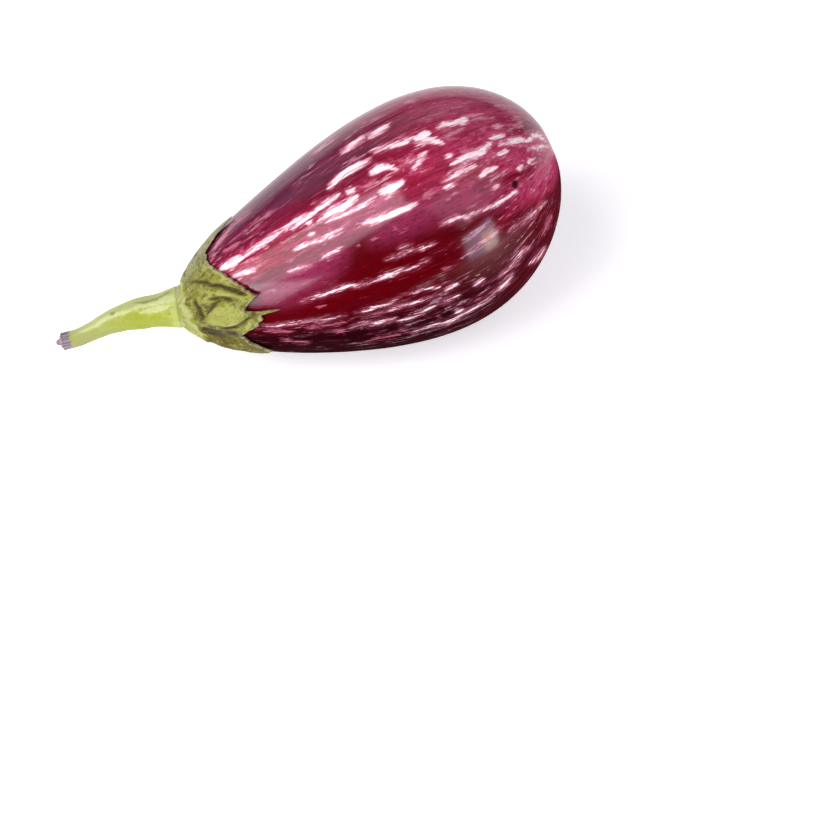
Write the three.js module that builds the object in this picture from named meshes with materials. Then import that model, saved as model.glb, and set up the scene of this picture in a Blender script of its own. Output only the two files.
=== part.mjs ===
// A striped eggplant as picked, lying on its side: the fruit, the green calyx that caps its narrow
// end, and the stem that it hung by. Millimetres and degrees, +Z up.
// The fruit lies along +X with its stem at the -X end. Its flank rests on the ground, so its axis
// climbs towards the blossom end. The origin is the middle of the small flat spot that it rests on.
import * as THREE from "three";

const { degToRad, radToDeg, euclideanModulo, lerp, smoothstep } = THREE.MathUtils;

// The fruit. Its own axis runs from the crown, under the stem, to the blossom end.
const FRUIT_LENGTH = 126;
const MEAN_RADIUS = 35.1;
const NECK_TAPER = 0.361; // how much slimmer than a ball the stem end is, and fuller the other
const SHOULDER_FULLNESS = 0.151; // what the shoulder keeps of that
const BELLY_FULLNESS = 0.03;
const BOW = 5.1; // how far the middle bows out to the -Y side
const SWELLS = { count: 3, height: 0.008, from: 25 }; // broad soft ridges along the fruit
const BLOSSOM_DIMPLE = { depth: 0.9, radius: 5 };

// How it lies.
const REST_ALONG = 61.3; // along the axis, under the centre of mass
const FLAT_DEPTH = 0.5; // how far the skin is pressed in at the flat spot

// The calyx, a cup with pointed sepals. Angles around the fruit start at its +Y side and climb over
// its top. Angles down from the crown are the fruit's own, 0 at the crown and 180 at the blossom end.
// Each sepal starts at a notch in the cup, this deep down, and reaches further down at its tip.
const SEPALS = [
  { notch: 8, depth: 38, tip: 50, reach: 54.5, point: 3, lift: 0.4, lean: -4 },
  { notch: 78, depth: 38, tip: 128, reach: 51.5, point: 1.4, lift: 1.3, lean: 27 },
  { notch: 137, depth: 45, tip: 144, reach: 53.5, point: 2, lift: 0.8, lean: 3 },
  { notch: 168, depth: 39, tip: 191, reach: 47, point: 1.3, lift: 0.5, lean: 10 },
  { notch: 221, depth: 39, tip: 253, reach: 51, point: 2, lift: 0.4, lean: 6 },
  { notch: 285, depth: 38, tip: 323, reach: 50, point: 1.6, lift: 0.9, lean: -5 },
];
const CALYX_THICKNESS = { collar: 1.5, middle: 1.3, rim: 0.8 };
const GAP = 0.3; // between pieces that touch
const MIDRIB = { height: 0.7, width: 6 };
const SEAM_DEPTH = 0.35; // the valley above each notch
const PUFF = { at: 142, down: 36.5, height: 0.9, width: 10, length: 7 }; // a swollen place on one sepal
const COLLAR = { radius: 6.4, down: 16.5, along: -1.4, aside: 1.8, tilt: 17 };

// The stem. It bends in one plane, which leans back over the fruit's top by this angle.
const STEM_PLANE = 32;
const STEM_PATH = [
  [-11.4, 4.5],
  [-17.6, 5.8],
  [-23.9, 6.4],
  [-30.2, 6.1],
  [-35, 6.2],
  [-38.7, 6.9],
];
const STEM_RADIUS = { foot: 6.4, middle: 4.9, end: 2.7 };
const STEM_FOOT_FLARE = 4.5; // how far along it the foot narrows
const STEM_THINS = { from: 9, to: 32.5 };
const STEM_RIDGES = { count: 6, height: 0.035 };
const DRY_END = { ring: 2.9, shoulder: 2.1, nub: 1, nubLength: 2.4 };

const FRUIT_TURNS = 48;
const FRUIT_ROWS = 36;
const CALYX_STEP = 3.75; // degrees round it, near enough, with a step at every notch and tip
const CALYX_INNER_ROWS = 7;
const CALYX_OUTER_ROWS = 10;
const STEM_TURNS = 18;
const STEM_ROWS = 22;

// Angles in equal steps from one up to, not with, another.
function steps(from, to, count) {
  return Array.from({ length: count }, (_, i) => degToRad(lerp(from, to, i / count)));
}

// A closed surface through a meridian at each angle, a list of points from one shared pole to the
// other with the outside on its way towards +X.
function surfaceOf(angles, meridianAt) {
  const meridians = angles.map(meridianAt);
  const turns = meridians.length;
  const rows = meridians[0].length - 2;
  const points = [meridians[0][0], ...meridians.flatMap((m) => m.slice(1, -1)), meridians[0].at(-1)];
  const last = points.length - 1;
  const vertex = (turn, row) => 1 + (turn % turns) * rows + row;
  const faces = [];
  for (let turn = 0; turn < turns; turn++) {
    faces.push(0, vertex(turn + 1, 0), vertex(turn, 0));
    for (let row = 0; row < rows - 1; row++) {
      faces.push(vertex(turn, row), vertex(turn + 1, row), vertex(turn + 1, row + 1));
      faces.push(vertex(turn, row), vertex(turn + 1, row + 1), vertex(turn, row + 1));
    }
    faces.push(last, vertex(turn, rows - 1), vertex(turn + 1, rows - 1));
  }
  const geometry = new THREE.BufferGeometry().setFromPoints(points).setIndex(faces);
  geometry.computeVertexNormals();
  return geometry;
}

// The fruit's radius at an angle down from the crown.
function girth(down) {
  const c = Math.cos(down);
  const fullness = 1 - NECK_TAPER * c + BELLY_FULLNESS * c ** 2 + SHOULDER_FULLNESS * c ** 3;
  return MEAN_RADIUS * Math.sin(down) * fullness;
}

function skin(down, around) {
  const swell = SWELLS.height * Math.cos(SWELLS.count * around - degToRad(SWELLS.from));
  const radius = girth(down);
  const dimple = down > 1 ? BLOSSOM_DIMPLE.depth * Math.exp(-((radius / BLOSSOM_DIMPLE.radius) ** 2)) : 0;
  const outward = radius * (1 + swell * Math.sin(down));
  return new THREE.Vector3(
    (FRUIT_LENGTH / 2) * (1 - Math.cos(down)) - dimple,
    outward * Math.cos(around) - BOW * Math.sin(down) ** 2,
    outward * Math.sin(around),
  );
}

// A point this high above the skin.
function aboveSkin(down, around, height) {
  const step = 1e-3;
  const d = Math.max(down, 2 * step);
  const along = skin(d + step, around).sub(skin(d - step, around));
  const across = skin(d, around + step).sub(skin(d, around - step));
  return skin(d, around).addScaledVector(across.cross(along).normalize(), height);
}

// The ground in the fruit's own frame: a plane along its flank, through the flat spot's middle.
const restDown = Math.acos(1 - (2 * REST_ALONG) / FRUIT_LENGTH);
const underside = (down) => skin(down, degToRad(270));
const slope = underside(restDown + 0.01).sub(underside(restDown - 0.01));
const lieTilt = Math.atan2(-slope.z, slope.x);
const up = new THREE.Vector3(Math.sin(lieTilt), 0, Math.cos(lieTilt));
const restSpot = underside(restDown).addScaledVector(up, FLAT_DEPTH);
const ground = new THREE.Plane().setFromNormalAndCoplanarPoint(up, restSpot);

function fruitMeridian(around) {
  return Array.from({ length: FRUIT_ROWS + 1 }, (_, row) => {
    const point = skin((row / FRUIT_ROWS) * Math.PI, around);
    return ground.distanceToPoint(point) < 0 ? ground.projectPoint(point, point) : point;
  });
}

// The sepal at an angle around the fruit, how near its middle line that is, from 0 at a notch to 1
// at the tip, and how far down its rim is there.
function sepalAt(around) {
  const angle = SEPALS[0].notch + euclideanModulo(radToDeg(around) - SEPALS[0].notch + 1e-6, 360);
  const index = SEPALS.findLastIndex((s) => s.notch <= angle);
  const sepal = SEPALS[index];
  const next = SEPALS[index + 1] ?? { ...SEPALS[0], notch: SEPALS[0].notch + 360 };
  const edge = angle < sepal.tip ? sepal : next;
  const share = (angle - edge.notch) / (sepal.tip - edge.notch);
  const rim = degToRad(lerp(edge.depth, sepal.reach, share ** sepal.point));
  return { sepal, angle, share, rim };
}

// Angles round the calyx, with one at every notch and tip.
function calyxAngles() {
  return SEPALS.flatMap((sepal, i) => {
    const end = SEPALS[i + 1]?.notch ?? SEPALS[0].notch + 360;
    const count = (from, to) => Math.max(2, Math.round((to - from) / CALYX_STEP));
    return [
      ...steps(sepal.notch, sepal.tip, count(sepal.notch, sepal.tip)),
      ...steps(sepal.tip, end, count(sepal.tip, end)),
    ];
  });
}

// How far the calyx stands off the skin: its tips curl up a little.
function liftAt(down, { sepal, share }) {
  return GAP + sepal.lift * share * smoothstep(radToDeg(down), sepal.depth - 4, sepal.reach);
}

function thicknessAt(down, { sepal, angle, share, rim }) {
  const outwards = Math.min(1, down / rim);
  const midribAngle = sepal.tip - sepal.lean * (1 - outwards);
  const midrib = Math.exp(-(((angle - midribAngle) / MIDRIB.width) ** 2));
  const puffAround = (angle - PUFF.at) / PUFF.width;
  const puffDown = (radToDeg(down) - PUFF.down) / PUFF.length;
  return (
    lerp(CALYX_THICKNESS.collar, CALYX_THICKNESS.middle, smoothstep(outwards, 0.3, 0.7)) -
    (CALYX_THICKNESS.middle - CALYX_THICKNESS.rim) * smoothstep(outwards, 0.6, 1) +
    MIDRIB.height * midrib * Math.sin(Math.PI * outwards) +
    PUFF.height * Math.exp(-(puffAround ** 2 + puffDown ** 2)) -
    SEAM_DEPTH * (1 - share) ** 2 * Math.sin(Math.PI * outwards)
  );
}

// The stem's bending plane, and the tilted seat that it stands on.
const aside = new THREE.Vector3(0, Math.cos(degToRad(STEM_PLANE)), Math.sin(degToRad(STEM_PLANE)));
const facing = new THREE.Vector3(0, -aside.z, aside.y);
const inStemPlane = ([along, off]) => new THREE.Vector3(along, 0, 0).addScaledVector(aside, off);
const seatNormal = inStemPlane([-Math.cos(degToRad(COLLAR.tilt)), Math.sin(degToRad(COLLAR.tilt))]);
const seatCentre = inStemPlane([COLLAR.along, COLLAR.aside]);

// A point of a ring round the stem's line. Angles run as they do around the fruit.
function ringPoint(centre, direction, radius, around) {
  const turn = around - degToRad(STEM_PLANE);
  const outward = new THREE.Vector3().crossVectors(direction, facing).normalize();
  return centre
    .clone()
    .addScaledVector(outward, radius * Math.cos(turn))
    .addScaledVector(facing, radius * Math.sin(turn));
}

function calyxMeridian(around) {
  const place = sepalAt(around);
  const { rim } = place;
  const start = degToRad(COLLAR.down);
  const points = [aboveSkin(0, 0, GAP)];
  for (let row = 1; row <= CALYX_INNER_ROWS; row++) {
    const down = (rim * row) / CALYX_INNER_ROWS;
    points.push(aboveSkin(down, around, liftAt(down, place)));
  }
  const edge = CALYX_THICKNESS.rim;
  points.push(aboveSkin(rim + (0.35 * edge) / MEAN_RADIUS, around, liftAt(rim, place) + edge / 2));
  for (let row = 0; row <= CALYX_OUTER_ROWS; row++) {
    const down = lerp(rim, start, row / CALYX_OUTER_ROWS);
    points.push(aboveSkin(down, around, liftAt(down, place) + thicknessAt(down, place)));
  }
  points.push(ringPoint(seatCentre, seatNormal, COLLAR.radius, around), seatCentre);
  return points.reverse();
}

const stemFoot = seatCentre.clone().addScaledVector(seatNormal, GAP);
const stemLine = new THREE.CatmullRomCurve3([stemFoot, ...STEM_PATH.map(inStemPlane)]);
const stemLength = stemLine.getLength();

function stemRadius(along) {
  const flare = STEM_RADIUS.foot - STEM_RADIUS.middle;
  const thinned = smoothstep(along, STEM_THINS.from, STEM_THINS.to);
  return (
    lerp(STEM_RADIUS.middle, STEM_RADIUS.end, thinned) +
    flare * Math.exp(-((along / STEM_FOOT_FLARE) ** 1.3))
  );
}

function stemMeridian(around) {
  const points = [stemFoot];
  const ridged = 1 + STEM_RIDGES.height * Math.cos(STEM_RIDGES.count * (around - degToRad(STEM_PLANE)));
  for (let row = 0; row <= STEM_ROWS; row++) {
    const share = row / STEM_ROWS;
    const direction = row === 0 ? seatNormal : stemLine.getTangentAt(share);
    const radius = stemRadius(share * stemLength) * ridged;
    points.push(ringPoint(stemLine.getPointAt(share), direction, radius, around));
  }
  const end = stemLine.getPointAt(1);
  const outward = stemLine.getTangentAt(1);
  const endRing = (beyond, radius) =>
    ringPoint(end.clone().addScaledVector(outward, beyond), outward, radius, around);
  points.push(endRing(0.5, DRY_END.ring), endRing(1.1, DRY_END.shoulder), endRing(1.5, DRY_END.nub));
  points.push(endRing(DRY_END.nubLength, 0.8 * DRY_END.nub));
  points.push(end.clone().addScaledVector(outward, DRY_END.nubLength + 0.4));
  return points.reverse();
}

function piece(name, geometry, colour, roughness) {
  const material = new THREE.MeshStandardMaterial({ color: colour, roughness, metalness: 0 });
  const mesh = new THREE.Mesh(geometry, material);
  mesh.name = name;
  return mesh;
}

const onItsAxis = new THREE.Group();
onItsAxis.add(
  piece("fruit", surfaceOf(steps(0, 360, FRUIT_TURNS), fruitMeridian), 0x7d1238, 0.3),
  piece("calyx", surfaceOf(calyxAngles(), calyxMeridian), 0x8f9440, 0.7),
  piece("stem", surfaceOf(steps(0, 360, STEM_TURNS), stemMeridian), 0xa9bd4c, 0.6),
);
onItsAxis.position.copy(restSpot).negate();

const eggplant = new THREE.Group();
eggplant.rotation.y = -lieTilt;
eggplant.add(onItsAxis);

export default eggplant;
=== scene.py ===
"""A striped eggplant lying on its side: glossy crimson skin with pale streaks, a ribbed green calyx
and a curved stem with a dry end, with the plain stage that it is seen on.

Metres, +Z up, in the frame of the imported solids. Each piece repeats its solid's shape with the fine
relief that the solid leaves out, and is painted by its own procedural material.
"""

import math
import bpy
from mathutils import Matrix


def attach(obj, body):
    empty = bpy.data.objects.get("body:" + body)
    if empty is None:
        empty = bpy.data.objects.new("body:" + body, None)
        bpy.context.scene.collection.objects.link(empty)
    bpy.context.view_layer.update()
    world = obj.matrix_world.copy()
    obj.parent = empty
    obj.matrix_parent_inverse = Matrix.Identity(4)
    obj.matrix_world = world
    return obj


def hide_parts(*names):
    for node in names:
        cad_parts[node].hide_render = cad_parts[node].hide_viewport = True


bl_info = {
    "name": "Striped Eggplant",
    "version": (1, 0, 0),
    "blender": (4, 5, 0),
    "location": "View3D > Sidebar > Eggplant",
    "description": "Builds a striped eggplant with its calyx and stem, and a plain stage to see it on",
    "category": "Add Mesh",
}

import bpy
import numpy as np
from bpy.props import FloatProperty, FloatVectorProperty, PointerProperty
from bpy.types import Operator, Panel, PropertyGroup
from mathutils import Matrix, Vector, noise

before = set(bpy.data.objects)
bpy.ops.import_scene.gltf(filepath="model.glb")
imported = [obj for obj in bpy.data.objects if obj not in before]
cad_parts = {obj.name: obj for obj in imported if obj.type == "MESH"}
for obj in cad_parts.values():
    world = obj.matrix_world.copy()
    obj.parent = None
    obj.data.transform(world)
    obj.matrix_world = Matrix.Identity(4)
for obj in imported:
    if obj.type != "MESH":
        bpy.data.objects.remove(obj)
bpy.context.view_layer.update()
MM = 0.001
ALL_ROUND = 360.0

# The shape that the solids have

# The fruit's own axis runs from the crown, under the stem, to the blossom end. Angles down from the
# crown are in radians, 0 at the crown and pi at the blossom end. Angles around it are in degrees,
# 0 at its +Y side and 90 on top.
FRUIT_LENGTH = 126 * MM
MEAN_RADIUS = 35.1 * MM
NECK_TAPER = 0.361
SHOULDER_FULLNESS = 0.151
BELLY_FULLNESS = 0.03
BOW = 5.1 * MM
SWELLS = {"count": 3, "height": 0.008, "from": 25}
DIMPLE = {"depth": 0.9 * MM, "radius": 5 * MM}
REST_ALONG = 61.3 * MM
FLAT_DEPTH = 0.5 * MM

# Each sepal starts at a notch in the calyx, this deep down, and reaches further down at its tip.
SEPALS = [
    {"notch": 8, "depth": 38, "tip": 50, "reach": 54.5, "point": 3, "lift": 0.4, "lean": -4},
    {"notch": 78, "depth": 38, "tip": 128, "reach": 51.5, "point": 1.4, "lift": 1.3, "lean": 27},
    {"notch": 137, "depth": 45, "tip": 144, "reach": 53.5, "point": 2, "lift": 0.8, "lean": 3},
    {"notch": 168, "depth": 39, "tip": 191, "reach": 47, "point": 1.3, "lift": 0.5, "lean": 10},
    {"notch": 221, "depth": 39, "tip": 253, "reach": 51, "point": 2, "lift": 0.4, "lean": 6},
    {"notch": 285, "depth": 38, "tip": 323, "reach": 50, "point": 1.6, "lift": 0.9, "lean": -5},
]
CALYX_THICKNESS = {"collar": 1.5 * MM, "middle": 1.3 * MM, "rim": 0.8 * MM}
GAP = 0.3 * MM
MIDRIB = {"height": 0.7 * MM, "width": 6}
SEAM_DEPTH = 0.35 * MM
PUFF = {"at": 142, "down": 36.5, "height": 0.9 * MM, "width": 10, "length": 7}
COLLAR = {"radius": 6.4 * MM, "down": 16.5, "along": -1.4 * MM, "aside": 1.8 * MM, "tilt": 17}

# The stem bends in one plane. The places of its line are along the fruit's axis and off it.
STEM_PLANE = 32
STEM_PATH = [(-11.4, 4.5), (-17.6, 5.8), (-23.9, 6.4), (-30.2, 6.1), (-35, 6.2), (-38.7, 6.9)]
STEM_RADIUS = {"foot": 6.4 * MM, "middle": 4.9 * MM, "end": 2.7 * MM}
STEM_FOOT_FLARE = 4.5 * MM
STEM_THINS = {"from": 9 * MM, "to": 32.5 * MM}
STEM_RIDGES = {"count": 6, "height": 0.035}
DRY_END = {"ring": 2.9 * MM, "shoulder": 2.1 * MM, "nub": 1 * MM, "nub_length": 2.4 * MM}


def smoothstep(value, low, high):
    share = np.clip((value - low) / (high - low), 0, 1)
    return share * share * (3 - 2 * share)


def lerp(a, b, share):
    return a + (b - a) * share


def bell(value, width):
    """1 where the value is 0, falling smoothly to nothing a few widths away."""
    return np.exp(-((value / width) ** 2))


def between(value, rise, fall):
    """1 from the end of a rise to the start of a fall, and 0 outside them."""
    return smoothstep(value, *rise) * (1 - smoothstep(value, *fall))


def turned(angle, other):
    """How far round one angle is from another, in degrees from -180 to 180."""
    return (angle - other + 180) % ALL_ROUND - 180


def unit(vectors):
    return vectors / np.maximum(np.linalg.norm(vectors, axis=-1, keepdims=True), 1e-12)


def girth(down):
    """The fruit's radius at an angle down from the crown."""
    c = np.cos(down)
    fullness = 1 - NECK_TAPER * c + BELLY_FULLNESS * c**2 + SHOULDER_FULLNESS * c**3
    return MEAN_RADIUS * np.sin(down) * fullness


def skin(down, around):
    """Points of the skin, on the fruit's own axis."""
    down, around = np.broadcast_arrays(down, around)
    turn = np.radians(around)
    swell = SWELLS["height"] * np.cos(SWELLS["count"] * turn - math.radians(SWELLS["from"]))
    radius = girth(down)
    dimple = np.where(down > 1, DIMPLE["depth"] * bell(radius, DIMPLE["radius"]), 0)
    outward = radius * (1 + swell * np.sin(down))
    along = FRUIT_LENGTH / 2 * (1 - np.cos(down)) - dimple
    bow = BOW * np.sin(down) ** 2
    return np.stack([along, outward * np.cos(turn) - bow, outward * np.sin(turn)], -1)


def skin_normal(down, around):
    step = 1e-3
    down = np.maximum(down, 2 * step)
    along = skin(down + step, around) - skin(down - step, around)
    across = skin(down, around + math.degrees(step)) - skin(down, around - math.degrees(step))
    return unit(np.cross(across, along))


def above_skin(down, around, height):
    down = np.maximum(down, 2e-3)
    return skin(down, around) + skin_normal(down, around) * np.asarray(height)[..., None]


def resting():
    """The angle that the fruit lies at, and the middle of the spot that it rests on."""
    down = math.acos(1 - 2 * REST_ALONG / FRUIT_LENGTH)
    slope = skin(down + 0.01, 270) - skin(down - 0.01, 270)
    tilt = math.atan2(-slope[2], slope[0])
    return tilt, skin(down, 270) + FLAT_DEPTH * np.array([math.sin(tilt), 0, math.cos(tilt)])


LIE_TILT, REST_SPOT = resting()
LYING = np.array(
    [
        [math.cos(LIE_TILT), 0, -math.sin(LIE_TILT)],
        [0, 1, 0],
        [math.sin(LIE_TILT), 0, math.cos(LIE_TILT)],
    ]
)


def laid(points):
    """Points on the fruit's own axis, in the frame that it lies in."""
    return (points - REST_SPOT) @ LYING.T


def roughness_at(points, size):
    """Smooth noise about 0, of roughly this feature size, at each point."""
    flat = (points / size).reshape(-1, 3).tolist()
    return np.array([noise.noise(p) for p in flat]).reshape(points.shape[:-1])


# The plane that the stem bends in, and its seat on the calyx.
PLANE_TURN = math.radians(STEM_PLANE)
ASIDE = np.array([0, math.cos(PLANE_TURN), math.sin(PLANE_TURN)])
FACING = np.array([0, -math.sin(PLANE_TURN), math.cos(PLANE_TURN)])


def in_stem_plane(along, off):
    return np.array([along, 0, 0]) + off * ASIDE


SEAT_TILT = math.radians(COLLAR["tilt"])
SEAT_NORMAL = in_stem_plane(-math.cos(SEAT_TILT), math.sin(SEAT_TILT))
SEAT_CENTRE = in_stem_plane(COLLAR["along"], COLLAR["aside"])


def ring_points(centre, direction, radius, around):
    """Points round a line. Angles run as they do around the fruit."""
    turn = np.radians(around - STEM_PLANE)[..., None]
    outward = unit(np.cross(direction, FACING))
    return centre + np.asarray(radius)[..., None] * (outward * np.cos(turn) + FACING * np.sin(turn))


# Meshes and nodes


def ring_mesh(name, points, fields):
    """A closed smooth mesh through rows of points, shaped (rows, turns, 3), whose first and last rows
    are single places. Fields are values or vectors of the same shape that its material reads."""
    rows, turns = points.shape[:2]

    def per_vertex(grid):
        inner = grid[1:-1].reshape(-1, *grid.shape[2:])
        return np.concatenate([grid[:1, 0], inner, grid[-1:, 0]])

    index = 1 + np.arange((rows - 2) * turns).reshape(rows - 2, turns)
    after = np.roll(index, -1, axis=1)
    end = (rows - 2) * turns + 1
    first = np.stack([np.zeros(turns, int), after[0], index[0]], -1)
    quads = np.stack([index[:-1], after[:-1], after[1:], index[1:]], -1).reshape(-1, 4)
    last = np.stack([np.full(turns, end), index[-1], after[-1]], -1)
    mesh = bpy.data.meshes.new(name)
    faces = [*first.tolist(), *quads.tolist(), *last.tolist()]
    mesh.from_pydata(per_vertex(points).tolist(), [], faces)
    mesh.shade_smooth()

    u = np.arange(turns) / turns
    v = np.arange(rows) / (rows - 1)
    middle, beyond = u + 0.5 / turns, u + 1 / turns
    first_uv = np.stack([middle, 0 * u, beyond, 0 * u + v[1], u, 0 * u + v[1]], -1)
    left, low = np.meshgrid(u, v[1:-2])
    right, high = left + 1 / turns, low + v[1]
    quad_uv = np.stack([left, low, right, low, right, high, left, high], -1)
    last_uv = np.stack([middle, 0 * u + 1, u, 0 * u + v[-2], beyond, 0 * u + v[-2]], -1)
    layer = mesh.uv_layers.new(name="OFBake")
    layer.data.foreach_set("uv", np.concatenate([x.ravel() for x in (first_uv, quad_uv, last_uv)]))

    for field, grid in fields.items():
        values = per_vertex(grid)
        kind, key = ("FLOAT_VECTOR", "vector") if values.ndim > 1 else ("FLOAT", "value")
        attribute = mesh.attributes.new(field, kind, "POINT")
        attribute.data.foreach_set(key, values.astype(np.float32).ravel())
    return mesh


def add_piece(name, mesh, material, node):
    """Puts a piece in the scene in the place of a solid."""
    piece = bpy.data.objects.new(name, mesh)
    bpy.context.scene.collection.objects.link(piece)
    mesh.materials.append(material)
    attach(piece, "root")
    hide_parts(node)
    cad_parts[node].data.materials.clear()
    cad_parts[node].data.materials.append(material)
    return piece


class Wire:
    """What comes out of a node. Sums and products of wires add the nodes that work them out."""

    def __init__(self, finish, socket):
        self.finish, self.socket = finish, socket

    def __add__(self, other):
        return self.finish.calc("ADD", self, other)

    def __mul__(self, other):
        return self.finish.calc("MULTIPLY", self, other)

    def __sub__(self, other):
        return self.finish.calc("SUBTRACT", self, other)

    def __rsub__(self, other):
        return self.finish.calc("SUBTRACT", other, self)

    __radd__, __rmul__ = __add__, __mul__


def rgba(colour):
    return colour if isinstance(colour, Wire) else (*colour, 1.0)


class Finish:
    """A material that is built in steps: each adds a node, and paints go over one another."""

    def __init__(self, name, lie=None):
        """Lie is the mesh's field of millimetres that its noise follows."""
        self.material = bpy.data.materials.new(name)
        self.material.use_nodes = True
        self.tree = self.material.node_tree
        self.tree.nodes.clear()
        self.shader = self.tree.nodes.new("ShaderNodeBsdfPrincipled")
        output = self.tree.nodes.new("ShaderNodeOutputMaterial")
        self.tree.links.new(self.shader.outputs[0], output.inputs["Surface"])
        self.lie = self.field(lie, "Vector") if lie else None
        self.colour = None

    def put(self, socket, value):
        if isinstance(value, Wire):
            self.tree.links.new(value.socket, socket)
        else:
            socket.default_value = value

    def step(self, kind, inputs, out=0, **settings):
        node = self.tree.nodes.new(kind)
        for key, value in settings.items():
            setattr(node, key, value)
        for key, value in inputs.items():
            self.put(node.inputs[key], value)
        return Wire(self, node.outputs[out])

    def field(self, name, out="Fac"):
        return self.step("ShaderNodeAttribute", {}, out, attribute_name=name)

    def fields(self, *names):
        return [self.field(name) for name in names]

    def calc(self, operation, a, b):
        return self.step("ShaderNodeMath", {0: a, 1: b}, operation=operation)

    def larger(self, a, b):
        return self.calc("MAXIMUM", a, b)

    def smooth(self, value, low, high):
        """0 below one value and 1 above another, with a smooth rise between them."""
        inputs = {"Value": value, "From Min": low, "From Max": high}
        return self.step("ShaderNodeMapRange", inputs, interpolation_type="SMOOTHSTEP")

    def mix(self, share, a, b):
        inputs = {0: share, 6: rgba(a), 7: rgba(b)}
        return self.step("ShaderNodeMix", inputs, 2, data_type="RGBA")

    def paint(self, share, colour):
        """Covers this share of what is painted so far."""
        self.colour = self.mix(share, self.colour, colour)

    def grain(self, across, along, detail=2.0, roughness=0.5, distortion=0.0, lie=None):
        """Noise from 0 to 1 whose features are this many millimetres across and along."""
        size = (1 / across, 1 / across, 1 / along)
        place = {0: lie or self.lie, 1: size}
        inputs = {
            "Vector": self.step("ShaderNodeVectorMath", place, operation="MULTIPLY"),
            "Scale": 1.0,
            "Detail": detail,
            "Roughness": roughness,
            "Distortion": distortion,
        }
        return self.step("ShaderNodeTexNoise", inputs)

    def bump(self, height, depth, strength=1.0):
        """A normal for relief of this depth in metres."""
        inputs = {"Strength": strength, "Distance": depth, "Height": height}
        return self.step("ShaderNodeBump", inputs)

    def set(self, **sockets):
        """Sets the shader's own sockets, named with underscores for their spaces."""
        for name, value in sockets.items():
            self.put(self.shader.inputs[name.replace("_", " ")], value)
        return self.material


def colour_property(name, description, default):
    return FloatVectorProperty(
        name=name, description=description, default=default, size=3, subtype="COLOR"
    )


# The fruit

FRUIT_TURNS = 370
FRUIT_ROWS = 266
BROAD_WAVES = 30 * MM
SMALL_WAVES = 9 * MM
SCAR = {
    "radius": 2.1 * MM,
    "rim": 0.22 * MM,
    "nub": 0.5 * MM,
    "rough": 0.5 * MM,
    "grain": 1.2 * MM,
}

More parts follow.
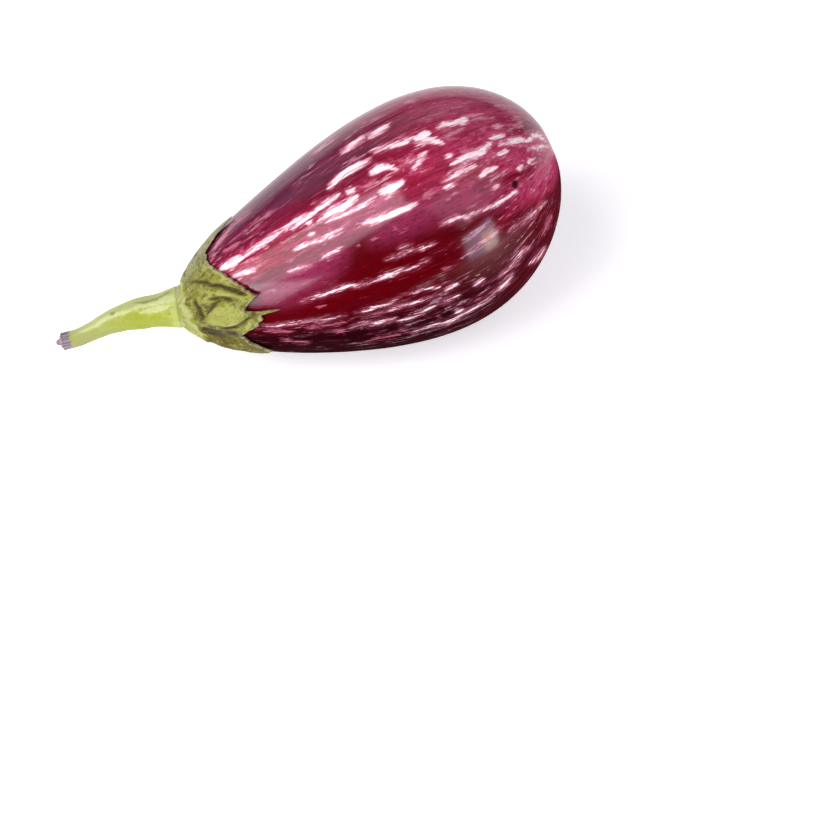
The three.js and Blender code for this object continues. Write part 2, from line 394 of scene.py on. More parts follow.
# The pale streaks that the photograph shows, each with its width and the places that it runs
# through, read as pixels of the image. The camera carries them onto the skin.
STREAKS = {
    "neck_patch": (7.5, (219, 271), (231, 264), (243, 256)),
    "neck_patch_low": (4.5, (232, 277), (256, 269)),
    "neck_long": (4.5, (244, 256), (260, 245), (282, 231), (291, 223)),
    "neck_long_end": (2.5, (287, 227), (306, 214)),
    "shoulder_long": (4.5, (291, 230), (312, 214), (339, 194)),
    "shoulder_broad": (8, (317, 222), (328, 214), (343, 206), (359, 197)),
    "shoulder_blob": (6, (346, 194), (355, 189)),
    "shoulder_low": (4, (326, 223), (340, 217), (358, 207), (377, 197)),
    "shoulder_fleck": (4, (306, 224), (312, 223)),
    "shoulder_dot": (5, (308, 235), (315, 232)),
    "shoulder_thin": (3.5, (294, 250), (317, 241), (328, 236), (343, 228)),
    "veil_short": (4.5, (288, 272), (300, 269), (312, 265)),
    "veil_blob": (5, (321, 258), (328, 255), (335, 252)),
    "veil_blob_end": (3, (330, 254), (342, 249)),
    "crest_long": (5.5, (329, 188), (340, 177), (346, 172), (358, 165), (370, 159)),
    "crest_upper": (3.5, (341, 153), (351, 146), (364, 137)),
    "crest_far": (4.5, (369, 137), (376, 133), (388, 126)),
    "top_line": (4, (372, 153), (380, 149), (390, 145), (403, 143), (410, 138), (417, 134)),
    "top_dot": (5, (388, 145), (396, 145)),
    "top_patch": (10, (414, 139), (421, 137), (430, 132)),
    "top_patch_low": (5.5, (414, 143), (428, 139), (444, 144)),
    "top_far": (4, (436, 128), (447, 124), (468, 121)),
    "top_far_end": (6, (456, 122), (468, 120)),
    "middle_cap": (7, (370, 175), (377, 170), (390, 166)),
    "middle_cap_end": (4.5, (388, 168), (398, 169)),
    "middle_patch": (9, (379, 194), (391, 189), (404, 180)),
    "middle_hook": (4, (412, 170), (419, 161), (427, 152)),
    "broad_patch": (8, (363, 225), (383, 217), (404, 210), (418, 203)),
    "far_patch": (4, (445, 158), (453, 155)),
    "far_patch_broad": (7.5, (451, 165), (466, 158), (480, 152), (491, 143)),
    "far_patch_top": (4, (490, 137), (505, 135)),
    "end_line": (5, (497, 144), (512, 141), (527, 140), (538, 135), (545, 141)),
    "end_low": (3, (529, 149), (548, 146)),
    "end_short": (4.5, (497, 155), (507, 150)),
    "right_thin": (3.5, (441, 183), (461, 173), (475, 165)),
    "right_fleck": (5, (443, 188), (455, 183)),
    "right_stroke": (4.5, (480, 177), (487, 170), (497, 167)),
    "right_dot": (4, (492, 190), (499, 185)),
    "right_edge_dot": (4, (517, 170), (523, 166)),
    "right_edge_fleck": (5, (528, 164), (534, 159)),
    "long_middle": (4.5, (438, 225), (449, 221), (457, 217), (466, 218), (477, 212)),
    "long_middle_end": (3.5, (475, 213), (497, 204), (517, 191)),
    "edge_long": (3.5, (509, 232), (529, 217), (545, 202)),
    "dark_upper": (4, (385, 260), (406, 253), (435, 243)),
    "dark_short": (3, (397, 249), (413, 244)),
    "dark_long": (4.5, (299, 302), (328, 293), (349, 286), (366, 284), (378, 280)),
    "dark_long_end": (5.5, (376, 280), (387, 275), (406, 269)),
    "dark_long_tip": (3.5, (404, 270), (418, 266), (430, 260)),
    "low_first": (3.5, (256, 328), (289, 324), (310, 320), (328, 320), (347, 316)),
    "low_second": (3.5, (355, 314), (379, 306), (392, 302), (404, 294)),
    "low_second_end": (3.5, (404, 294), (414, 293), (423, 289), (440, 287)),
    "low_third": (3.5, (363, 318), (379, 314), (403, 305), (420, 301), (435, 295), (446, 293)),
    "low_third_end": (4, (444, 291), (458, 284)),
    "low_fourth": (3.5, (348, 328), (366, 323), (380, 323), (397, 318)),
    "low_fourth_end": (3, (398, 322), (414, 317), (426, 311), (437, 304)),
    "low_fourth_tip": (3.5, (437, 304), (449, 300), (460, 295)),
    "low_edge": (3.5, (412, 333), (424, 328), (445, 322), (455, 319), (472, 310),
                 (486, 300), (496, 291)),
    "low_edge_end": (4.5, (497, 291), (506, 283), (514, 272)),
    "low_edge_fleck": (4, (454, 312), (462, 309)),
    "corner_long": (3.5, (498, 278), (506, 271), (513, 265), (521, 255), (531, 246)),
    "corner_outer": (3, (530, 264), (540, 256), (545, 247)),
    "corner_fleck": (3.5, (474, 286), (484, 279)),
}
FAINT_STREAKS = {
    "rim_of_neck": (5, (211, 264), (211, 256), (219, 241), (233, 224), (251, 209)),
    "neck_mauve": (4, (222, 252), (241, 242)),
    "neck_mauve_long": (4, (247, 234), (258, 223), (277, 208)),
    "neck_pink": (6, (256, 268), (262, 262)),
    "shoulder_pink": (3, (281, 244), (300, 234)),
    "shoulder_pink_low": (3, (285, 263), (295, 259)),
    "shoulder_halo": (7, (300, 232), (318, 222)),
    "flank_fleck": (3, (311, 204), (315, 200)),
    "crest_pair": (6, (344, 166), (354, 160), (365, 155)),
    "crest_veil": (5, (364, 187), (379, 178)),
    "top_edge": (4, (404, 103), (417, 101)),
    "top_edge_low": (3.5, (405, 113), (419, 107)),
    "end_top": (4.5, (494, 105), (514, 107)),
    "end_top_low": (3.5, (511, 117), (522, 119)),
    "top_small": (3, (445, 139), (458, 139)),
    "far_small": (3, (470, 134), (484, 129)),
    "far_halo": (9, (460, 153), (476, 147)),
    "edge_pink": (5, (541, 177), (552, 165)),
    "edge_pink_low": (5, (541, 236), (548, 225), (552, 214)),
    "middle_pink": (4, (424, 198), (434, 192)),
    "curl": (3, (393, 226), (400, 232), (413, 225)),
    "dark_dot": (4, (357, 247), (361, 245)),
    "dark_fleck": (4, (370, 240), (377, 236)),
    "dark_pink": (3, (318, 308), (328, 306)),
    "dark_right": (3, (442, 269), (451, 265)),
    "patch_line": (3, (489, 234), (505, 223)),
    "edge_inner": (3, (530, 262), (544, 247)),
    "low_grey": (5, (263, 331), (278, 331), (294, 332)),
    "low_grey_long": (3.5, (304, 328), (333, 325), (347, 323)),
    "low_pink": (5.5, (331, 332), (347, 330)),
    "low_between": (3, (403, 315), (420, 308)),
    "low_bottom": (3, (366, 342), (382, 338), (400, 335)),
    "low_bottom_far": (3.5, (398, 330), (412, 330)),
    "low_bottom_left": (4, (280, 340), (310, 343)),
    "corner_pair": (3, (475, 299), (481, 294), (489, 286)),
    "low_edge_dot": (3, (436, 317), (441, 316)),
}
# Broad pink bands of painted glare, where the soft lights show mirrored in the skin: each with its
# width and the places that it runs through, in pixels.
GLARE_BANDS = {
    "neck": (30, (262, 300), (290, 284), (320, 266), (345, 246)),
    "bridge": (24, (322, 238), (350, 222), (385, 206), (405, 200)),
    "middle": (24, (372, 238), (400, 224), (430, 208), (470, 196), (500, 190)),
}
PIXEL = 0.3145  # the millimetres of the fruit that a pixel spans
MARK_REACH = 6.0  # millimetres round a mark over which its field falls away
BLUNT_ENDS = 1.8  # 1 for streaks with pointed ends, and more for blunter ones

# Broad zones with more pale streaks than elsewhere, or fewer where the last value is negative:
# degrees around, millimetres along the skin, degrees wide, millimetres long.
ZONES = [
    (98, 32, 22, 12, 0.9),
    (104, 80, 16, 30, 0.8),
    (100, 112, 24, 22, 0.9),
    (168, 80, 22, 45, 0.7),
    (125, 132, 45, 22, 0.5),
    (285, 90, 50, 40, 0.6),
    (20, 85, 40, 45, 0.7),
    (340, 70, 40, 35, 0.8),
    (225, 85, 40, 40, 0.5),
    (147, 68, 9, 30, -0.8),
    (128, 82, 10, 16, -0.8),
]
BLEMISH = {"around": 131, "along": 122, "radius": 1.4}
# The lower side that gets painted shade: the degrees around where it starts, how its edge curves about
# a place along the fruit, the width of its rise, and where it ends behind.
LOWER_SHADE = {"from": 103, "curve": 0.008, "along": 66, "wide": 24, "back": (318, 350)}
# The underside, painted near black as shade: where it starts in front and where it ends behind, in
# degrees around.
BELLY_SHADE = {"front": (145, 176), "back": (270, 310)}
FAR_END = (84, 128)
DULL_SIDE = {"front": (130, 146), "back": (300, 340), "loss": 0.98}
SHINE = {"around": 147, "along": 107, "wide": 15, "long": 12}
# Where a grey-violet sheen is painted on the upper side: degrees around, degrees wide, and the
# millimetres along over which it fades.
FLANK_SHEEN = {"around": 55, "wide": 38, "fades": (66, 104)}
GRAIN_GIRTH = 0.22  # 1 would give the grain the fruit's own girth, and 0 the same girth all along
SKIN_COLOURS = {
    "flank": (0.028, 0.006, 0.040),
    "belly_shade": (0.010, 0.0001, 0.0010),
    "painted_glare": (0.28, 0.026, 0.085),
    "mottle": (0.025, 0.0002, 0.004),
    "streak_rim": (0.66, 0.25, 0.34),
    "streak": (0.80, 0.45, 0.52),
    "speckle": (0.02, 0.0, 0.006),
    "blemish": (0.045, 0.004, 0.010),
    "dark_bark": (0.05, 0.025, 0.015),
    "light_bark": (0.24, 0.15, 0.09),
}


class FruitSettings(PropertyGroup):
    waviness: FloatProperty(
        name="Waviness", description="Height of the broad unevenness of the skin",
        default=0.16 * MM, min=0.0, max=1.0 * MM, unit="LENGTH", precision=5,
    )
    deep: colour_property("Deep Colour", "Colour of the darkest skin", (0.090, 0.0001, 0.0020))
    rosy: colour_property(
        "Rosy Colour", "Colour of the lighter skin between the streaks", (0.34, 0.0024, 0.034)
    )
    halo: colour_property("Halo Colour", "Pink round the pale streaks", (0.47, 0.075, 0.145))
    mauve: colour_property(
        "Mauve Colour", "Colour of the skin near the blossom end", (0.60, 0.062, 0.17)
    )
    pale: colour_property("Streak Colour", "The palest part of the streaks", (0.95, 0.81, 0.83))
    roughness: FloatProperty(
        name="Roughness", description="Roughness of the skin under its gloss", default=0.36,
        min=0.05, max=1.0, subtype="FACTOR",
    )


def skin_rows(count):
    """Angles down from the crown at equal steps along the skin, and millimetres along it."""
    fine = np.linspace(0, math.pi, 4001)
    steps = np.hypot(np.diff(girth(fine)), FRUIT_LENGTH / 2 * np.diff(-np.cos(fine)))
    along = np.concatenate([[0], np.cumsum(steps)])
    even = np.linspace(0, along[-1], count)
    return np.interp(even, along, fine), even / MM


def streak_field(streaks, at, seen):
    """Millimetres inside the edge of the nearest streak, negative outside it. At is the pixel where
    each point shows, and seen is 0 for a point that faces away from the camera."""
    field = np.full(seen.shape, -MARK_REACH)
    for wide, *places in streaks.values():
        places = np.array(places, float)
        steps = np.linalg.norm(np.diff(places, axis=0), axis=1)
        passed = 0.0
        for a, b, step in zip(places, places[1:], steps):
            part = np.clip((at - a) @ (b - a) / step**2, 0, 1)
            away = np.linalg.norm(at - a - part[..., None] * (b - a), axis=-1)
            share = (passed + part * step) / steps.sum()
            half = wide / 2 * np.sqrt(1 - np.abs(2 * share - 1) ** BLUNT_ENDS)
            field = np.maximum(field, (half - away) * PIXEL)
            passed += step
    return lerp(-MARK_REACH, field, seen)


def zone_field(around, along):
    field = np.zeros(around.shape)
    for zone_around, zone_along, wide, long, strength in ZONES:
        near = bell(turned(around, zone_around), wide)
        field += strength * near * bell(along - zone_along, long)
    return field


def gloss_field(around, along):
    """How glossy the skin is: duller on its lower side, but for one bright place."""
    dull = between(around, DULL_SIDE["front"], DULL_SIDE["back"])
    shine = bell(turned(around, SHINE["around"]), SHINE["wide"])
    shine = shine * bell(along - SHINE["along"], SHINE["long"])
    return np.clip(1 - DULL_SIDE["loss"] * dull + DULL_SIDE["loss"] * shine, 0, 1)


def lower_shade_field(around, along):
    """1 on the duller lower side, where painted shade darkens the skin and dims its streaks. Its upper
    edge is a curve along the fruit.
    """
    edge = LOWER_SHADE["from"] + LOWER_SHADE["curve"] * (along - LOWER_SHADE["along"]) ** 2
    back = 1 - smoothstep(around, *LOWER_SHADE["back"])
    return smoothstep(around - edge, 0, LOWER_SHADE["wide"]) * back


def skin_relief(base, from_pole, waviness):
    """Heights of the skin over the plain shape: broad waves, and the scar at the blossom end."""
    waves = roughness_at(base, BROAD_WAVES) + 0.35 * roughness_at(base, SMALL_WAVES)
    relief = waviness * waves
    relief += SCAR["rim"] * bell(from_pole - SCAR["radius"], 0.35 * SCAR["radius"])
    relief += SCAR["nub"] * bell(from_pole, 0.3 * SCAR["radius"])
    rough = SCAR["rough"] * roughness_at(base, SCAR["grain"])
    return relief + bell(from_pole, SCAR["radius"]) * rough


def fruit_mesh(settings):
    downs, alongs = skin_rows(FRUIT_ROWS)
    turns = np.arange(FRUIT_TURNS) * ALL_ROUND / FRUIT_TURNS
    down, around = np.meshgrid(downs, turns, indexing="ij")
    along = np.broadcast_to(alongs[:, None], down.shape)
    from_pole = np.where(down > math.pi / 2, girth(down), 1.0)
    relief = skin_relief(skin(down, around), from_pole, settings.waviness)
    points = laid(above_skin(down, around, relief))
    points[..., 2] = np.maximum(points[..., 2], 0)

    at, squareness = as_seen(points, skin_normal(down, around) @ LYING.T)
    seen = smoothstep(squareness, 0.0, 0.1)
    radius = MEAN_RADIUS / MM * (girth(down) / MEAN_RADIUS) ** GRAIN_GIRTH
    turn = np.radians(around)
    lower = lower_shade_field(around, along)
    far = smoothstep(along, *FAR_END)
    flank = bell(turned(around, FLANK_SHEEN["around"]), FLANK_SHEEN["wide"])
    from_blemish = np.radians(turned(around, BLEMISH["around"])) * girth(down) / MM
    from_blemish = np.hypot(from_blemish, along - BLEMISH["along"])
    fields = {
        "grain": np.stack([radius * np.cos(turn), radius * np.sin(turn), along], -1),
        "mark": streak_field(STREAKS, at, seen),
        "faint": streak_field(FAINT_STREAKS, at, seen),
        "painted_glare": smoothstep(streak_field(GLARE_BANDS, at, seen), -5.8, 4.5),
        "seen": smoothstep(squareness, -0.1, 0.3),
        "lower": lower * (1 - 0.35 * far),
        "far": far * (1 - 0.95 * lower),
        "zone": zone_field(around, along),
        "scar": bell(from_pole, 1.25 * SCAR["radius"]),
        "flank": flank * (1 - 0.75 * smoothstep(along, *FLANK_SHEEN["fades"])),
        "gloss": gloss_field(around, along),
        "belly_shade": between(around, BELLY_SHADE["front"], BELLY_SHADE["back"]) * (1 - 0.6 * far),
        "blemish": bell(from_blemish, BLEMISH["radius"]),
    }
    return ring_mesh("fruit_skin", points, fields)


def paint_ground(f, settings, lower):
    """Deep to rosy skin in long thin lines and broad patches, with painted shade on the lower side and
    the belly, a painted grey-violet sheen on the upper side, and mauve near the blossom end that is
    partly painted sheen.
    """
    patches = f.grain(12, 34, 2, 0.55, 0.3)
    rosy = f.grain(1.5, 26, 3, 0.6) * 0.75 + patches * 0.65
    # Painted shade darkens the ground on the lower side.
    rosy = rosy + f.field("zone") * 0.12 - lower * 0.30
    f.colour = f.mix(f.smooth(rosy, 0.52, 0.90), settings.deep, settings.rosy)
    threads = f.smooth(f.grain(0.7, 11, 5, 0.7, 0.2), 0.38, 0.60)
    # Mauve near the blossom end: partly the skin's own tone, partly painted sheen.
    far = f.field("far") * (threads * 0.55 + 0.45)
    f.paint(far * f.smooth(patches, 0.25, 0.5), settings.mauve)
    f.paint((1 - threads) * (1 - lower * 0.6) * 0.32, settings.deep)
    # Painted grey-violet sheen on the upper side.
    f.paint(f.field("flank") * 0.85, f.mix(0.84, settings.rosy, SKIN_COLOURS["flank"]))
    # Painted shade on the underside.
    f.paint(f.field("belly_shade") * 0.95, SKIN_COLOURS["belly_shade"])
    return patches


def skin_finish(settings):
    """Crimson skin with ragged pale streaks in pink halos, bands of painted glare and painted shade on
    the lower side, under a clear natural gloss.
    """
    f = Finish("striped_skin", "grain")
    mark, faint, zone, lower, scar = f.fields("mark", "faint", "zone", "lower", "scar")
    torn = f.grain(0.55, 6.5, 5, 0.7, 0.1) - 0.5
    jagged = f.grain(0.33, 1.9, 3, 0.6) - 0.5
    rent = f.grain(1.4, 9.0, 4, 0.65, 0.3) - 0.5
    torn_by = torn * 3.7 + jagged * 1.7 + rent * 3.2
    patches = paint_ground(f, settings, lower)

    # Long streaks, short flecks and torn patches where the zones have them.
    crowd = f.smooth(f.grain(13, 26, 2) + zone * 0.22, 0.44, 0.72)
    streak = f.grain(2.2, 20, 5, 0.66, 0.25)
    long_streak = f.smooth(streak, 0.59, 0.64) * crowd
    short_fleck = f.smooth(f.grain(1.3, 6.5, 4, 0.66, 0.2), 0.62, 0.67) * crowd
    patch = f.grain(3.2, 10, 5, 0.7, 0.35)
    torn_patch = f.smooth(patch, 0.595, 0.645) * f.smooth(zone, 0.35, 0.95)
    scattered = f.larger(torn_patch, f.larger(long_streak * 0.85, short_fleck * 0.75))
    scattered = scattered * (1 - f.field("seen") * 0.55)

    # The streaks that the photograph shows: their white, and the pink round them.
    # Painted shade on the lower side dims the streaks and their pink halos.
    inside = mark + torn_by + (0.14 - lower * 0.32)
    faint = f.smooth(faint + torn_by * 1.3, -0.1, 0.8)
    white = f.larger(f.larger(f.smooth(inside, -0.05, 0.3), scattered), faint * 0.2)
    uneven = f.grain(0.7, 2.2, 3, 0.6)
    white = white * (1 - lower * 0.55) * f.smooth(uneven, 0.1, 0.5)
    near = f.smooth(mark + torn_by, -1.4, 0.3)
    soft_streak = f.smooth(streak, 0.50, 0.64) * crowd
    soft_patch = f.smooth(patch, 0.50, 0.62) * f.smooth(zone, 0.1, 0.9)
    hairline = f.smooth(f.grain(0.9, 16, 2, 0.6), 0.56, 0.68) * f.smooth(zone, -0.5, 0.1)
    pink = f.larger(near * 0.75, soft_streak * 0.6)
    pink = f.larger(pink, f.larger(soft_patch, hairline * 0.3))
    pink = f.larger(pink * (1 - lower * 0.84), faint * 0.6)
    close = f.smooth(mark + torn_by * 0.8, -0.75, 0.15)
    close = close * f.smooth(uneven, 0.3, 0.6) * (1 - lower * 0.75)
    bright = f.smooth(inside, 0.1, 0.8) * f.smooth(uneven, 0.2, 0.5)
    bright = f.larger(bright, scattered * f.smooth(uneven, 0.35, 0.6) * 0.5)

    # Painted glare in broad pink bands.
    f.paint(f.field("painted_glare") * 0.75, SKIN_COLOURS["painted_glare"])
    mottle = f.smooth(f.grain(0.8, 2.2, 5, 0.75, 0.2), 0.54, 0.36)
    f.paint(mottle * 0.45, SKIN_COLOURS["mottle"])
    f.paint(pink, settings.halo)
    f.paint(close * 0.75, SKIN_COLOURS["streak_rim"])
    f.paint(white, SKIN_COLOURS["streak"])
    f.paint(bright, settings.pale)
    speckle = f.smooth(f.grain(0.45, 0.9, 2, 0.6), 0.62, 0.78)
    f.paint(speckle * 0.12, SKIN_COLOURS["speckle"])
    blemish = f.smooth(f.field("blemish") + torn * 0.8, 0.3, 0.7)
    f.paint(blemish, SKIN_COLOURS["blemish"])
    bark = f.mix(f.grain(0.6, 0.6, 3), SKIN_COLOURS["dark_bark"], SKIN_COLOURS["light_bark"])
    lobed = f.grain(7, 2.5, 3, 0.6) - 0.5
    f.paint(f.smooth(scar + lobed * 1.6, 0.4, 0.75), bark)

    rough = white * 0.08 + scar * 0.35 + settings.roughness + (patches - 0.5) * 0.12
    relief = f.grain(0.8, 1.4, 3, 0.6) * 0.25 + f.grain(2.4, 9, 2, 0.5) * 0.75
    return f.set(
        Base_Color=f.colour,
        Roughness=rough,
        Normal=f.bump(relief, 0.12 * MM, 0.5),
        Coat_Weight=(1 - scar) * f.field("gloss") * 0.7,
        Coat_Roughness=0.125,
        Coat_IOR=1.5,
        Specular_IOR_Level=0.0,
    )


class EGGPLANT_OT_add_fruit(Operator):
    """Add the striped fruit in the place of its solid"""

    bl_idname = "eggplant.add_fruit"
    bl_label = "Add Fruit"

    def execute(self, context):
        settings = context.scene.eggplant_fruit
        add_piece("striped_fruit", fruit_mesh(settings), skin_finish(settings), "fruit")
        return {"FINISHED"}


# The calyx

CALYX_TURNS = 480
CALYX_OUTER_ROWS = 84
CALYX_COLLAR_ROWS = 10
CALYX_INNER_ROWS = 12
TOP_SNUG = {"at": 48, "width": 34, "less": 1.5 * MM}
SHORT_TIP = {"around": 144, "width": 8, "most": 49.3}
FULL_SIDE = {"around": 155, "width": 5, "more": 2.4}
FIBRE_TIP = {"around": 142.3, "width": 1.0, "length": 7.5}
WRINKLES = {"height": 0.55 * MM, "across": 6.0, "along": 12.0}
COLLAR_RIBS = {"height": 0.35 * MM, "count": 4.0}

# The furrows and ridges that the photograph shows on the calyx: like the fruit's streaks, each has
# its width and the places that it runs through, in pixels.
FURROWS = {
    "upper": (3.5, (191, 281), (202, 282), (211, 285), (220, 286), (229, 290), (244, 294)),
    "upper_end": (5, (224, 288), (234, 291), (245, 295)),
    "middle": (4, (210, 299), (223, 298), (232, 301)),
    "beside_puff": (3.5, (222, 299), (213, 306), (207, 315)),
    "under_puff": (3, (220, 330), (230, 328), (235, 327), (241, 324), (248, 319)),
    "lower": (6, (202, 328), (213, 333), (225, 339)),
    "lower_edge": (4, (226, 334), (239, 337)),
    "throat": (4, (196, 299), (199, 309), (203, 319)),
}
RIDGES = {
    "slanted": (4.5, (199, 291), (213, 292), (224, 294), (234, 295), (245, 298)),
    "puff": (19, (208, 316), (249, 314)),
    "stem_side": (5, (180, 281), (184, 300), (186, 313), (193, 322), (201, 332), (210, 340)),
    "tip": (7, (244, 284), (250, 289), (257, 296)),
    "rim": (3.5, (213, 270), (226, 277), (238, 282)),
    "below": (5, (252, 320), (247, 330)),
}
FURROW_DEPTH = 0.6 * MM
RIM_LIFT = 0.6  # the share of the solid's lift of the rim off the skin that is kept here
RIDGE_HEIGHT = 0.7 * MM
THINNEST = 0.35 * MM
SEAT_RADIUS = 0.8 * COLLAR["radius"]
SEAT_DEPTH = 0.6 * MM
TOP_RING = {"radius": 0.96 * COLLAR["radius"], "lift": 0.05 * MM}
COLLAR_BULGE = 0.48 * MM
# Where a grey-lilac sheen is painted on the calyx's top side: degrees around, degrees wide, and the
# degrees down over which it rises.
FUZZ_SHEEN = {"around": 46, "wide": 24, "from": (17, 24)}
FIBRES = {"radius": 16, "per_degree": 0.61}  # millimetres
SHADED = {"front": (143, 170), "back": (290, 330)}
CALYX_COLOURS = {
    "yellow": (0.24, 0.275, 0.018),
    "fuzz_sheen": (0.37, 0.35, 0.38),
    "shade": (0.080, 0.066, 0.002),
    "deep_furrow": (0.030, 0.021, 0.004),
    "ridge": (0.36, 0.40, 0.095),
    "dry": (0.40, 0.35, 0.19),
    "rot": (0.13, 0.03, 0.035),
    "dots": (0.11, 0.085, 0.03),
    "throat": (0.27, 0.32, 0.035),
    "pale_throat": (0.46, 0.49, 0.20),
}


class CalyxSettings(PropertyGroup):
    light: colour_property(
        "Light Green", "Colour of the calyx's raised parts", (0.36, 0.385, 0.090)
    )
    dark: colour_property("Olive", "Colour between the raised parts", (0.112, 0.100, 0.008))
    furrow: colour_property(
        "Furrow Brown", "Colour at the bottom of the furrows and on the edges", (0.066, 0.049, 0.006)
    )
    wrinkles: FloatProperty(
        name="Wrinkles", description="How deep the wrinkles are, as a share of their usual depth",
        default=1.0, min=0.0, max=2.0, subtype="FACTOR",
    )


def sepal_places(around):
    """For each angle around: how near the sepal's middle line it is, from 0 at a notch to 1 at the
    tip, how far down the rim is there in degrees, and the sepal's own values."""
    angle = SEPALS[0]["notch"] + (around - SEPALS[0]["notch"] + 1e-6) % ALL_ROUND
    place = {key: np.zeros(around.shape) for key in ("share", "rim", *SEPALS[0])}
    for i, sepal in enumerate(SEPALS):
        after = SEPALS[(i + 1) % len(SEPALS)]
        next_notch = after["notch"] + (0 if after is not SEPALS[0] else ALL_ROUND)
        here = (angle >= sepal["notch"]) & (angle < next_notch)
        edge_notch = np.where(angle < sepal["tip"], sepal["notch"], next_notch)
        edge_depth = np.where(angle < sepal["tip"], sepal["depth"], after["depth"])
        share = (angle - edge_notch) / (sepal["tip"] - edge_notch)
        rim = lerp(edge_depth, sepal["reach"], np.clip(share, 0, 1) ** sepal["point"])
        place["share"] = np.where(here, share, place["share"])
        place["rim"] = np.where(here, rim, place["rim"])
        for key, value in sepal.items():
            place[key] = np.where(here, value, place[key])
    place["angle"] = angle
    return place


def calyx_relief(down, place):
    """Heights of the calyx's outside over its skin side, and how much of that is rib or furrow.
    Down is in degrees here."""
    angle, share = place["angle"], place["share"]
    outwards = np.clip(down / place["rim"], 0, 1)
    arch = np.sin(math.pi * outwards)
    midrib = bell(angle - (place["tip"] - place["lean"] * (1 - outwards)), MIDRIB["width"])
    aside = (angle - PUFF["at"]) / PUFF["width"]
    puff = bell(np.hypot(aside, (down - PUFF["down"]) / PUFF["length"]), 1.0)
    collar, middle, rim = CALYX_THICKNESS.values()
    thickness = lerp(collar, middle, smoothstep(outwards, 0.3, 0.7))
    thickness -= (middle - rim) * smoothstep(outwards, 0.6, 1)
    thickness += MIDRIB["height"] * midrib * arch + PUFF["height"] * puff
    seam = (1 - share) ** 2 * arch
    thickness -= SEAM_DEPTH * seam

    height = thickness - FURROW_DEPTH * place["furrow"] + RIDGE_HEIGHT * place["ridge"]
    height -= TOP_SNUG["less"] * bell(turned(angle, TOP_SNUG["at"]), TOP_SNUG["width"])
    return height, {
        "rib": np.clip(midrib * arch * 0.5 * (1 - place["seen"]) + place["ridge"], 0, 1),
        "furrow": np.clip(seam * 0.8 * (1 - 0.7 * place["seen"]) + place["furrow"], 0, 1),
    }


def collar_ring(radius, around, lifted=0.0):
    """A ring round the stem's seat on the calyx, in the seat's plane or lifted off it."""
    centre = SEAT_CENTRE + lifted * SEAT_NORMAL
    return ring_points(centre, SEAT_NORMAL, radius, around)


def ragged_rim(turns, rim):
    """The rim's degrees down with small teeth, and its tips as long as the photograph shows."""
    for fineness, height, size in ((9, 0, 1.0), (26, 4, 0.9)):
        circle = np.stack([np.cos(np.radians(turns)), np.sin(np.radians(turns))], -1) * fineness
        rim = rim + size * np.array([noise.noise((x, y, height)) for x, y in circle.tolist()])
    near_tip = np.abs(turned(turns, SHORT_TIP["around"])) < SHORT_TIP["width"]
    rim = np.where(near_tip, np.minimum(rim, SHORT_TIP["most"]), rim)
    for part, size in ((FULL_SIDE, "more"), (FIBRE_TIP, "length")):
        rim += part[size] * bell(turned(turns, part["around"]), part["width"])
    return rim


def wrinkles_at(around, down):
    """Wrinkles that run towards the rim, as shares of their height."""
    turn = np.radians(around + 0 * down)
    spin = 57.3 / WRINKLES["across"]
    at = np.stack([spin * np.cos(turn), spin * np.sin(turn), down / WRINKLES["along"]], -1)
    return roughness_at(at, 1.0) + 0.6 * roughness_at(at, 0.45)


def ribbed_collar(turns, first_row):
    """Rows that climb from the ring round the stem's seat to the calyx's own first row."""
    top_ring = collar_ring(TOP_RING["radius"], turns[None, :], TOP_RING["lift"])
    climb = np.linspace(0, 1, CALYX_COLLAR_ROWS, endpoint=False)[:, None, None]
    collar = lerp(top_ring, first_row, climb)
    collar += COLLAR_BULGE * SEAT_NORMAL * np.sin(math.pi * climb)
    turn = np.radians(turns)
    spin = COLLAR_RIBS["count"] * np.stack([np.cos(turn), np.sin(turn), 0 * turn], -1)
    ribs = COLLAR_RIBS["height"] * roughness_at(spin, 1.0)[None, :, None]
    return collar + SEAT_NORMAL * ribs * np.sin(math.pi / 2 * climb)


